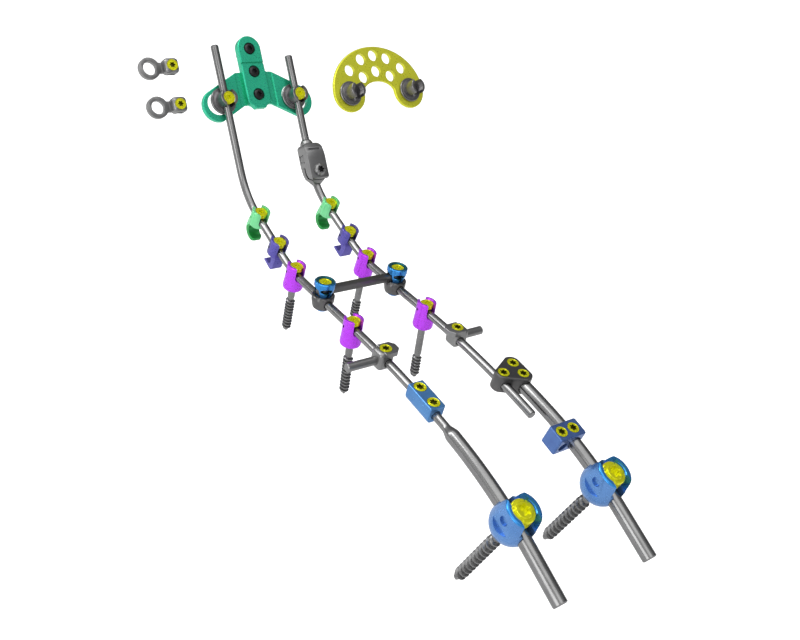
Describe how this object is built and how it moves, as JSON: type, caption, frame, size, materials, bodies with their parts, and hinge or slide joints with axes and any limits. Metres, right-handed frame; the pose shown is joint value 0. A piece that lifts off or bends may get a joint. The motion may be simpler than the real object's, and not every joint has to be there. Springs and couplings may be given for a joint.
{
  "type": "spinal fixation system",
  "caption": "Contoured twin rods on an occipital plate, with hooks, polyaxial screws, cross link, hinged rod and connectors for the upper spine, plus a kidney-shaped plate and eyelets.",
  "frame": {"origin": "on the bone side of the occipital plate, in the midline, midway between its lower two screws", "axes": "+X to the viewer's right across the two rods, +Y cranially along the spine, +Z dorsally, away from the bone"},
  "size_m": [0.1493, 0.2708, 0.1328],
  "materials": {
    "black": "near-black metal, satin",
    "blue": "blue anodised titanium, satin",
    "dark": "bare metal, dark grey satin",
    "magenta": "magenta anodised titanium, satin",
    "mint": "light green anodised titanium, satin",
    "steel": "bare metal, polished",
    "teal": "green anodised titanium, satin",
    "violet": "violet anodised titanium, satin",
    "yellow": "gold-green anodised titanium, glossy"
  },
  "bodies": {
    "construct": {"cervical_head_left_lower": "magenta", "cervical_head_left_upper": "magenta", "cervical_head_right_lower": "magenta", "cervical_head_right_upper": "magenta", "cervical_set_screw_left_lower": "yellow", "cervical_set_screw_left_upper": "yellow", "cervical_set_screw_right_lower": "yellow", "cervical_set_screw_right_upper": "yellow", "cross_bar": "dark", "crosslink_clamp_left": "blue", "crosslink_clamp_right": "blue", "crosslink_collar_left": "dark", "crosslink_collar_right": "dark", "crosslink_set_screw_left": "yellow", "crosslink_set_screw_right": "yellow", "eyelet_connector_lower": "steel", "eyelet_connector_upper": "steel", "hinge_lock_screw": "dark", "hinge_pin": "steel", "inline_connector": "blue", "kidney_clamp_left": "dark", "kidney_clamp_right": "dark", "kidney_plate": "yellow", "lamina_hook_left": "mint", "lamina_hook_right": "mint", "lamina_hook_set_screw_left": "yellow", "lamina_hook_set_screw_right": "yellow", "left_rod": "steel", "left_tapered_rod": "steel", "occipital_plate": "teal", "occipital_screw_lower": "black", "occipital_screw_middle": "black", "occipital_screw_upper": "black", "offset_connector_left": "dark", "offset_connector_right": "dark", "offset_set_screw_left": "yellow", "offset_set_screw_right": "yellow", "parallel_connector": "dark", "pedicle_hook_left": "violet", "pedicle_hook_right": "violet", "pedicle_hook_set_screw_left": "yellow", "pedicle_hook_set_screw_right": "yellow", "plate_clamp_left": "dark", "plate_clamp_right": "dark", "plate_clamp_set_screw_left": "yellow", "plate_clamp_set_screw_right": "yellow", "right_rod": "steel", "right_thoracic_rod": "steel", "right_upper_rod": "steel", "side_connector": "blue", "thoracic_head_left": "blue", "thoracic_head_right": "blue", "thoracic_set_screw_left": "yellow", "thoracic_set_screw_right": "yellow"},
    "cervical_screw_left_upper": {"cervical_screw_left_upper": "dark"},
    "cervical_screw_right_upper": {"cervical_screw_right_upper": "dark"},
    "cervical_screw_left_lower": {"cervical_screw_left_lower": "dark"},
    "cervical_screw_right_lower": {"cervical_screw_right_lower": "dark"},
    "thoracic_screw_left": {"thoracic_screw_left": "dark"},
    "thoracic_screw_right": {"thoracic_screw_right": "dark"}
  },
  "joints": [
    {"name": "cervical_left_upper_swing", "type": "hinge", "parent": "construct", "child": "cervical_screw_left_upper", "pos_m": [-0.01815, -0.07912, -0.05854], "axis": [1, 0, 0], "range_deg": [-23, 31]},
    {"name": "cervical_right_upper_swing", "type": "hinge", "parent": "construct", "child": "cervical_screw_right_upper", "pos_m": [0.01815, -0.07912, -0.05854], "axis": [1, 0, 0], "range_deg": [-23, 31]},
    {"name": "cervical_left_lower_swing", "type": "hinge", "parent": "construct", "child": "cervical_screw_left_lower", "pos_m": [-0.01815, -0.12432, -0.05963], "axis": [1, 0, 0], "range_deg": [-24.5, 29.5]},
    {"name": "cervical_right_lower_swing", "type": "hinge", "parent": "construct", "child": "cervical_screw_right_lower", "pos_m": [0.01815, -0.12432, -0.05963], "axis": [1, 0, 0], "range_deg": [-24.5, 29.5]},
    {"name": "thoracic_left_swing", "type": "hinge", "parent": "construct", "child": "thoracic_screw_left", "pos_m": [-0.01815, -0.22314, -0.07611], "axis": [1, 0, 0], "range_deg": [-27, 27]},
    {"name": "thoracic_right_swing", "type": "hinge", "parent": "construct", "child": "thoracic_screw_right", "pos_m": [0.02565, -0.22314, -0.07611], "axis": [1, 0, 0], "range_deg": [-27, 27]}
  ]
}
